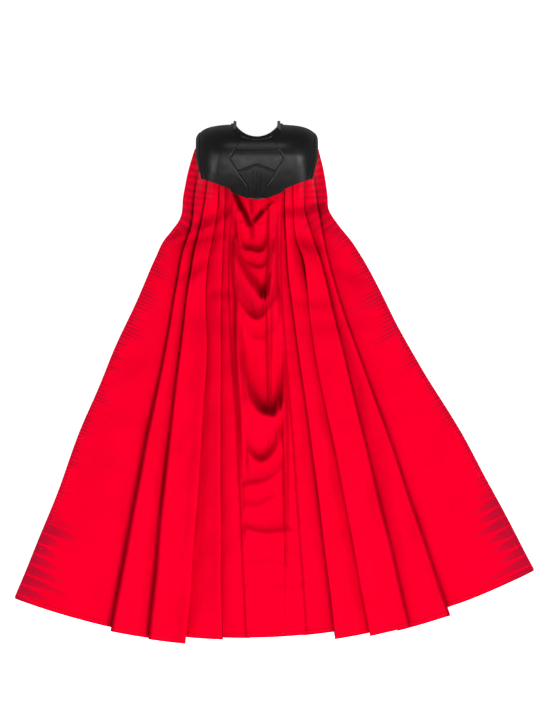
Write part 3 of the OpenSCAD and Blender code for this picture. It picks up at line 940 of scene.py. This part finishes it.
class Cowl:
    """The draped centre between the two seams."""

    def __init__(self):
        left, right = CURVES["left"]["seam"], CURVES["right"]["seam"]
        top = 111.8
        share = np.linspace(0, 1, COWL_COLS)
        # Finer columns towards the seams
        share = mix(share, ease(share), 0.35)
        length = top - hem_y(0.0, CENTRE_DROP)
        rows = np.concatenate([np.linspace(1, 5.2 / length, COWL_ROWS), HEM_ROWS / length])
        hem = np.full(COWL_COLS, -148.0)
        for _ in range(4):
            hem = hem_y(mix(left(hem), right(hem), share), CENTRE_DROP)
        y = mix(hem, top, rows[:, None])
        x = mix(left(y), right(y), share)
        off = np.minimum(x - left(y), right(y) - x)
        swags, shade = swag_height(x, y)
        grooves = line_field(x, y, COWL_GROOVES)
        folds = swags + line_field(x, y, COWL_BULGES) + grooves
        # Painted shade in the swags' pockets, the grooves and under the yoke
        shade = np.maximum(shade * ease(off / 1.5), -0.3 * grooves)
        shade = np.maximum(shade, painted_yoke_shadow(x, y))
        folds += 0.3 * ripple(x, y, 41, 20)
        calm = 1 - 0.65 * ease((-95 - y) / 30)
        folds = np.maximum(folds, -0.9 - 0.5 * base_height(x, y)) * ease((off - 0.2) / 3.2) * calm
        z = lie(x, y) + 0.45 + folds + 0.35 * ease(off / 0.9) + turned_hem(y - hem)
        z += seam_gathers(off, y, 43) * ease(off / 0.8)
        lean = OVERHANG * np.maximum(folds, 0) * ease((104 - y) / 10)
        self.points = np.stack([x, y + lean, z], axis=2)
        self.hem_row = len(rows) - STITCH_ROW
        steps = np.linalg.norm(np.diff(self.points, axis=0), axis=2)
        down = np.concatenate([np.zeros((1, COWL_COLS)), np.cumsum(steps, axis=0)])
        self.attributes = {
            "weave_u": x, "weave_v": down, "edge_d": x * 0 + 99, "edge_s": x * 0, "zone": x * 0,
            # Painted shade, and a thin darker line along each seam
            "fold_shade": np.maximum(shade, 0.5 * gauss(off, 0.7)),
        }


cowl = Cowl()


# ---- Making the cloth pieces ----

def waist_blend(piece):
    """Bends the piece at the waist between the yoke and the part that lies flat."""
    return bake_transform(piece, "yoke", "skirt", (0, (WAIST_Y + 3) * MM, 0), (0, (WAIST_Y - 4) * MM, 0))


def fold_line(side_name):
    """A point of the line along which a side panel folds, and the line's direction."""
    joint = next(j for j in frame["record"]["behaviour"]["joints"] if j["name"] == side_name + "_wing_fold")
    return np.array(joint["pos_m"][:2]) / MM, np.array(joint["axis"][:2])


def wing_blend(piece, side_name):
    place, way = fold_line(side_name)
    outward = np.array([-way[1], way[0]])
    outward *= np.sign(outward[0] * SIDES[side_name])
    start = place - outward * 1.5
    end = place + outward * 3.0
    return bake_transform(piece, "skirt", side_name + "_wing", (*start * MM, 0), (*end * MM, 0))


def flat_size(points):
    """Greatest width and length of a grid of cloth laid flat, and its area, in metres."""
    p = points * MM
    width = np.linalg.norm(np.diff(p, axis=1), axis=2).sum(axis=1).max()
    length = np.linalg.norm(np.diff(p, axis=0), axis=2).sum(axis=0).max()
    a = np.cross(p[1:, :-1] - p[:-1, :-1], p[:-1, 1:] - p[:-1, :-1])
    b = np.cross(p[1:, :-1] - p[1:, 1:], p[:-1, 1:] - p[1:, 1:])
    return width, length, (np.linalg.norm(a, axis=2).sum() + np.linalg.norm(b, axis=2).sum()) / 2


def rolled_hem(name, line, printed_places):
    """A narrow rolled hem along a line of centres: a flattened roll."""
    place, way = resample(line, 0.9)
    place = np.vstack([line[0], place, line[-1]])
    way = np.vstack([way[0], way, way[-1]])
    across = np.cross(way, (0, 0, 1))
    across /= np.linalg.norm(across, axis=1, keepdims=True)
    sides = 18
    turn = 2 * math.pi * np.arange(sides) / sides
    wide = 1.15 * np.sign(np.cos(turn)) * np.abs(np.cos(turn)) ** 0.8
    high = 0.46 * np.sign(np.sin(turn)) * np.abs(np.sin(turn)) ** 0.9
    arc = np.concatenate([[0], np.cumsum(np.linalg.norm(np.diff(place, axis=0), axis=1))])
    pucker = 1 + 0.07 * np.sin(arc * 2 * math.pi / 1.7 + 2 * ripple(arc, arc * 0, 51, 20))
    points = (place[:, None, :] + across[:, None, :] * wide[None, :, None]
              + np.array([0, 0, 1.0])[None, None, :] * (high[None, :, None] * pucker[:, None, None]))
    piece = new_piece(name, points.reshape(-1, 3), tube_faces(len(place), sides))
    set_attribute(piece, "weave_u", np.tile(wide * 1.4 + high, len(place)))
    set_attribute(piece, "weave_v", np.repeat(arc, sides))
    for key, values in printed_places(place[:, 0], place[:, 1]).items():
        set_attribute(piece, key, np.repeat(values, sides))
    # Painted shade on the underside of the roll
    set_attribute(piece, "fold_shade", np.tile(0.4 * (np.sin(turn) < -0.2), len(place)))
    return piece


for side_name, half in halves.items():
    pleats = dress(half.piece(f"{side_name}_pleats", False), printed_satin)
    panel = dress(half.piece(f"{side_name}_side_panel_cloth", True), printed_satin)

    extras = {"pleats": [], "panel": []}
    for part, upper in (("pleats", True), ("panel", False)):
        hem_line = half.edge_line(upper, 0.75, 0.1)
        if not upper:
            hem_line = hem_line[:-1]
        hem = rolled_hem(f"{side_name}_{part}_rolled_hem", hem_line, half.printed_places)
        dress(hem, printed_satin)
        line = half.edge_line(upper, 2.5, CLOTH_T / 2)
        thread = stitch_row(f"{side_name}_{part}_hem_stitches", [line[1:-2]])
        extras[part] += [hem, dress(thread, red_thread)]

    lines = half.hem_lines()
    gore_run = len(PATH) - 2
    inner = stitch_row(f"{side_name}_bottom_stitches", [line for run, line in lines if run != gore_run])
    outer = stitch_row(f"{side_name}_gore_stitches", [line[:-3] for run, line in lines if run == gore_run])
    extras["pleats"].append(dress(inner, red_thread))
    extras["panel"].append(dress(outer, red_thread))

    names = [f"{side_name}_pleat_{n}" for n in (1, 2, 3, 4)]
    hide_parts(f"{side_name}_header", f"{side_name}_gore_strip", *names)
    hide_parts(f"{side_name}_side_panel")
    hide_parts(f"{side_name}_side_hem", f"{side_name}_hem_wire")
    for piece in [pleats, *extras["pleats"]]:
        waist_blend(piece)
    for piece in [panel, *extras["panel"]]:
        wing_blend(piece, side_name)

cowl_cloth = thicken(grid_piece("cowl_cloth", cowl.points, attributes=cowl.attributes), CLOTH_T, -1.0)
dress(cowl_cloth, red_satin)
cowl_hem = cowl.points[cowl.hem_row, 1:-1] + (0, 0, 0.02)
cowl_stitches = dress(stitch_row("cowl_bottom_stitches", [cowl_hem]), red_thread)
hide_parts("cowl_header", "cowl_drape")
waist_blend(cowl_cloth)
waist_blend(cowl_stitches)


# ---- The moulded yoke ----

def dome(w, power):
    return np.maximum(1 - np.abs(w) ** power, 0) ** (1 / power)


CREASE = 0.07                     # how far the crease at the ridge is rounded
LOW_SPAN = 27.5                   # from the ridge to the lowest edge
LOW_FALL = 0.264                  # share of the height lost on the way there
LOW_CREASE = 0.45                 # how straight that fall is
FRONT_POWER = 2.4                 # how square the section of the front is
LOWER_EDGE = np.array([(0, 26.5), (6, 25.9), (14.7, 22.5), (15.6, 20.7), (23.7, 17.4), (32, 14.5)])
ARMHOLE = np.array([(RIDGE_Y - 14.5, 32), (RIDGE_Y - 1.5, YOKE_HALF_W - 0.3)])


def yoke_point(across, along, out=0.0):
    """Points of the yoke's surface, as in the CAD source, and their distance from the middle."""
    below = np.minimum(along, 0)
    y_low = RIDGE_Y + below * np.interp(np.abs(across) * 32, LOWER_EDGE[:, 0], LOWER_EDGE[:, 1])
    u_low = across * np.interp(y_low, ARMHOLE[:, 0], ARMHOLE[:, 1])
    fall = np.hypot((RIDGE_Y - y_low) / LOW_SPAN, CREASE) - CREASE
    z_low = (YOKE_H + out) * (1 - LOW_FALL * mix(fall**2, fall, LOW_CREASE)) * dome(u_low / YOKE_HALF_W, 3)
    turn = np.pi / 2 * np.clip(along, 0, 1)
    u_high = across * (YOKE_HALF_W - 0.3)
    w = u_high / YOKE_HALF_W
    y_high = RIDGE_Y + (CAP_DEPTH + out) * np.sin(turn) ** (2 / FRONT_POWER) * dome(w, 4)
    z_high = (YOKE_H + out) * np.cos(turn) ** (2 / FRONT_POWER) * dome(w, 3)
    low = along <= 0
    u = np.where(low, u_low, u_high)
    y = np.where(low, y_low, y_high)
    z = np.where(low, z_low, z_high)
    return np.stack([NECK_X + u * (YOKE_HALF_W + out) / YOKE_HALF_W, y, z], axis=-1), u


def yoke_normals(points):
    a = np.gradient(points, axis=1)
    b = np.gradient(points, axis=0)
    n = np.cross(b, a)
    n /= np.maximum(np.linalg.norm(n, axis=2, keepdims=True), 1e-9)
    n *= np.where(n[..., 2:].mean() < 0, -1, 1)
    return n


def outline_distance(u, y, outline):
    """Distance inside an outline that is given as (from the middle, below the ridge)."""
    px, py = u, RIDGE_Y - y
    best = np.full(px.shape, 1e9)
    inside = np.zeros(px.shape, bool)
    corners = np.array(outline, float)
    for (ax, ay), (bx, by) in zip(corners, np.roll(corners, -1, axis=0)):
        ex, ey = bx - ax, by - ay
        t = np.clip(((px - ax) * ex + (py - ay) * ey) / (ex * ex + ey * ey), 0, 1)
        best = np.minimum(best, np.hypot(px - ax - t * ex, py - ay - t * ey))
        crosses = (ay > py) != (by > py)
        with np.errstate(divide="ignore", invalid="ignore"):
            inside ^= crosses & (px < (bx - ax) * (py - ay) / (by - ay) + ax)
    return np.where(inside, best, -best)


def mirrored(half):
    return half + [(-u, v) for u, v in reversed(half) if u]


def notch_distance(u, y):
    return np.hypot(u, y - NOTCH_Y)


NAPE = mirrored([(10.4, -7.5), (12.4, -1.7)])
BACK = mirrored([(0, -1.3), (12.8, -1.3), (15.4, 2.9), (11, 10.6), (0, 6.4)])
SPINE = mirrored([(0, 7.1), (10.7, 11.4), (8, 15.1), (5.2, 18.9), (4, 25.3)])


def ribs_distance(u, y):
    v = RIDGE_Y - y
    reach = np.minimum(v - 10, 23.5 - v)
    lean = 1 - 0.2 * np.clip((v - 10) / 13.5, 0, 1)
    near = np.min([np.abs(u - x * lean) for x in (-2.2, 0, 2.2)], axis=0)
    return np.minimum(0.42 - near, reach)


def notch_along(across):
    """Share of the way to the front rim at which each column meets the neck notch."""
    high = np.ones_like(across)
    low = np.zeros_like(across)
    for _ in range(40):
        middle = (low + high) / 2
        points, u = yoke_point(across, middle)
        outside = notch_distance(u, points[..., 1]) > NECK_R
        low, high = np.where(outside, middle, low), np.where(outside, high, middle)
    return high


def shell_grooves(u, y):
    """Shallow lines moulded round the plates, and the marks they leave."""
    near = [np.abs(outline_distance(u, y, o) + 0.25) for o in (BACK, SPINE)]
    near.append(np.abs(notch_distance(u, y) - NECK_R - COLLAR_W - 0.15))
    return -0.2 * gauss(np.min(near, axis=0), 0.32)


def make_shell():
    corner = math.sqrt(NECK_R**2 - (NOTCH_Y - RIDGE_Y - CAP_DEPTH) ** 2) / (YOKE_HALF_W - 0.3)
    across = np.concatenate([
        np.linspace(-1, -corner, 80)[:-1], np.linspace(-corner, corner, 100), np.linspace(corner, 1, 80)[1:]])
    top = notch_along(across)
    rows = [across * 0 + k for k in np.linspace(-1, 0, 76)]
    rows += [top * k for k in np.linspace(0, 1, 104)[1:]]
    along = np.array(rows)[::-1]
    columns = np.broadcast_to(across, along.shape)
    points, u = yoke_point(columns, along)
    normals = yoke_normals(points)
    y = points[..., 1]
    wear = 0.05 * ripple(u, y, 61, 18) + 0.02 * ripple(u, y, 62, 5)
    out = (shell_grooves(u, y) + wear)[..., None]
    shell = grid_piece("shoulder_shell_cover", points + normals * out)
    thicken(shell, WALL)
    edge = shell.modifiers.new("rounded rim", "BEVEL")
    edge.width = 0.28 * MM
    edge.segments = 3
    edge.limit_method = "ANGLE"
    edge.angle_limit = math.radians(50)
    edge.use_clamp_overlap = True
    return shell


def yoke_patch(name, across_range, along_range, distance, height, step=0.17, conform=False):
    """A raised plate on the yoke: it rises from inside the wall to its full height round its outline."""
    span_u = (across_range[1] - across_range[0]) * 34
    span_v = (along_range[1] - along_range[0]) * 27
    across = np.linspace(*across_range, int(span_u / step))
    rows = np.linspace(*along_range, int(span_v / step))[::-1]
    columns, even = np.meshgrid(across, rows)
    along = np.minimum(even, notch_along(across)) if conform else even
    points, u = yoke_point(columns, along)
    # Rows that meet the notch fall together, so a conforming patch takes its normals from the even grid
    normals = yoke_normals(yoke_point(columns, even)[0])
    d = distance(u, points[..., 1])
    out = -0.3 + (height + 0.3) * ease((d + 0.25) / 0.6)
    near = out > -0.28
    keep = near[1:, 1:] | near[:-1, 1:] | near[1:, :-1] | near[:-1, :-1]
    return grid_piece(name, points + normals * out[..., None], keep)


shell = dress(make_shell(), shell_plastic)
fit_to_yoke(shell, "shoulder_shell")

def strip_width(y):
    return np.interp(y, ARMHOLE[:, 0], ARMHOLE[:, 1])


def strip_distance(side):
    """Distance inside the strip along one armhole."""
    return lambda u, y: np.minimum(side * u - 0.93 * strip_width(y), 0.997 * strip_width(y) - side * u)


# Each plate's node, reach across and along the yoke, height and distance inside its outline
PLATES = [
    ("nape_plate", (-0.42, 0.42), (-0.25, 0.6), PLATE_H,
     lambda u, y: np.minimum(outline_distance(u, y, NAPE), notch_distance(u, y) - NECK_R - COLLAR_W - 0.25)),
    ("back_plate", (-0.52, 0.52), (-0.75, 0.3), PLATE_H, lambda u, y: outline_distance(u, y, BACK)),
    ("spine_insert", (-0.4, 0.4), (-1, -0.05), PLATE_H, lambda u, y: outline_distance(u, y, SPINE)),
    ("spine_ribs", (-0.16, 0.16), (-0.95, -0.2), 2 * PLATE_H, ribs_distance),
    *((f"{name}_edge_strip", sorted((side, 0.88 * side)), (-1, 0.995), PLATE_H, strip_distance(side))
      for name, side in SIDES.items()),
    ("neck_collar", (-0.47, 0.47), (0.0, 1.0), 2 * PLATE_H,
     lambda u, y: np.minimum(NECK_R + COLLAR_W - notch_distance(u, y), notch_distance(u, y) - NECK_R + 0.05)),
]

for node, across_range, along_range, height, distance in PLATES:
    collar = node == "neck_collar"
    plate = yoke_patch(f"{node}_cover", across_range, along_range, distance, height, conform=collar)
    if collar:
        dress(plate, shell_plastic)
    else:
        dress(plate, trim_plastic)
    fit_to_yoke(plate, node)


# ---- Inside the yoke ----


def make_liner():
    across, along = np.meshgrid(np.linspace(-0.8, 0.8, 90), np.linspace(0.46, -0.45, 70))
    points, u = yoke_point(across, along, -WALL - 0.2)
    points[..., 2] += 0.08 * ripple(points[..., 0], points[..., 1], 71, 9)
    clear = notch_distance(u, points[..., 1]) > NECK_R + 3
    keep = clear[1:, 1:] & clear[:-1, 1:] & clear[1:, :-1] & clear[:-1, :-1]
    liner = thicken(grid_piece("felt_liner", points, keep), 1.4, -1.0)
    fit_to_yoke(dress(liner, felt), "inner_liner")
    width, length, area = flat_size(points)


def make_tape():
    """The woven tape that the clamp grips, a closed strip with rounded edges."""
    low, high = node_box("header_tape")
    middle, half = (low + high) / 2, (high - low) / 2
    sections, sides = 60, 16
    corner = []
    for k in range(sides):
        turn = 2 * math.pi * k / sides
        corner.append((np.sign(math.cos(turn)) * abs(math.cos(turn)) ** 0.35,
                       np.sign(math.sin(turn)) * abs(math.sin(turn)) ** 0.6))
    verts = []
    for i in range(sections):
        x = mix(low[0], high[0], i / (sections - 1))
        for b, c in corner:
            wave = 0.03 * math.sin(i * 1.7) * (c > 0)
            verts.append((x, middle[1] + b * half[1], middle[2] + c * half[2] * 0.92 + wave))
    tape = new_piece("header_tape_cloth", verts, tube_faces(sections, sides))
    dress(tape, tape_cloth)
    fit_to_yoke(tape, "header_tape")


make_liner()
make_tape()

for node, material in {
    "left_neck_peg": peg_plastic, "right_neck_peg": peg_plastic, "boss_plate": clamp_plastic,
    "clamp_bar": clamp_plastic, "clamp_screws": steel,
}.items():
    dress(bpy.data.objects[node], material)


# ---- The floor, the light and the camera ----

def make_floor():
    s = Shader("paper floor")
    place = s.position()
    fibres = s.noise(place, 160.0, 4.0)
    s.colour(s.blend_colour(fibres, (0.92, 0.92, 0.92), (0.90, 0.90, 0.90)))
    s.roughness(s.stretch(fibres, 0.3, 0.7, 0.85, 0.95))
    s.set(Emission_Color=(1, 1, 1, 1), Emission_Strength=0.8)
    reach = 2500
    corners = [(-reach, -reach, 0), (reach, -reach, 0), (reach, reach, 0), (-reach, reach, 0)]
    floor = new_piece("floor", corners, [(0, 1, 2, 3)], smooth=False)
    floor.data.materials.append(s.material)
    floor.visible_glossy = False


def area_light(name, place, target, size, watts):
    data = bpy.data.lights.new(name, "AREA")
    data.shape = "RECTANGLE"
    data.size, data.size_y = size
    data.energy = watts
    light = bpy.data.objects.new(name, data)
    light.location = place
    light.rotation_euler = (Vector(target) - Vector(place)).to_track_quat("-Z", "Y").to_euler()
    bpy.context.scene.collection.objects.link(light)
    return light


make_floor()
area_light("key", (0.28, -0.95, 1.25), (0, 0, 0), (0.75, 0.55), 21).visible_glossy = False
area_light("strip softbox", (0.12, -0.22, 1.2), (0.12, 0, 0), (2.0, 0.1), 6)
area_light("right softbox", (1.22, -0.14, 0.7), (0, 0, 0), (0.15, 0.5), 3)
area_light("left softbox", (-1.22, -0.16, 0.7), (0, 0, 0), (0.15, 0.5), 2)
area_light("back softbox", (0, 0.8, 1.1), (0, 0, 0), (1.2, 0.5), 3)

CAMERA_LENS = 500
CAMERA_PLACE = (-0.0042, 0.0150, 5.7125)
WORLD_STRENGTH = 0.17

world = bpy.data.worlds.new("studio")
world.use_nodes = True
background = world.node_tree.nodes["Background"]
background.inputs["Color"].default_value = (1, 1, 1, 1)
background.inputs["Strength"].default_value = WORLD_STRENGTH
bpy.context.scene.world = world
bpy.context.scene.view_settings.view_transform = "Standard"

camera_data = bpy.data.cameras.new("camera")
camera_data.lens = CAMERA_LENS
camera_data.dof.use_dof = False
camera_data.clip_start, camera_data.clip_end = 0.1, 60
camera = bpy.data.objects.new("camera", camera_data)
camera.location = CAMERA_PLACE
bpy.context.scene.collection.objects.link(camera)
bpy.context.scene.camera = camera
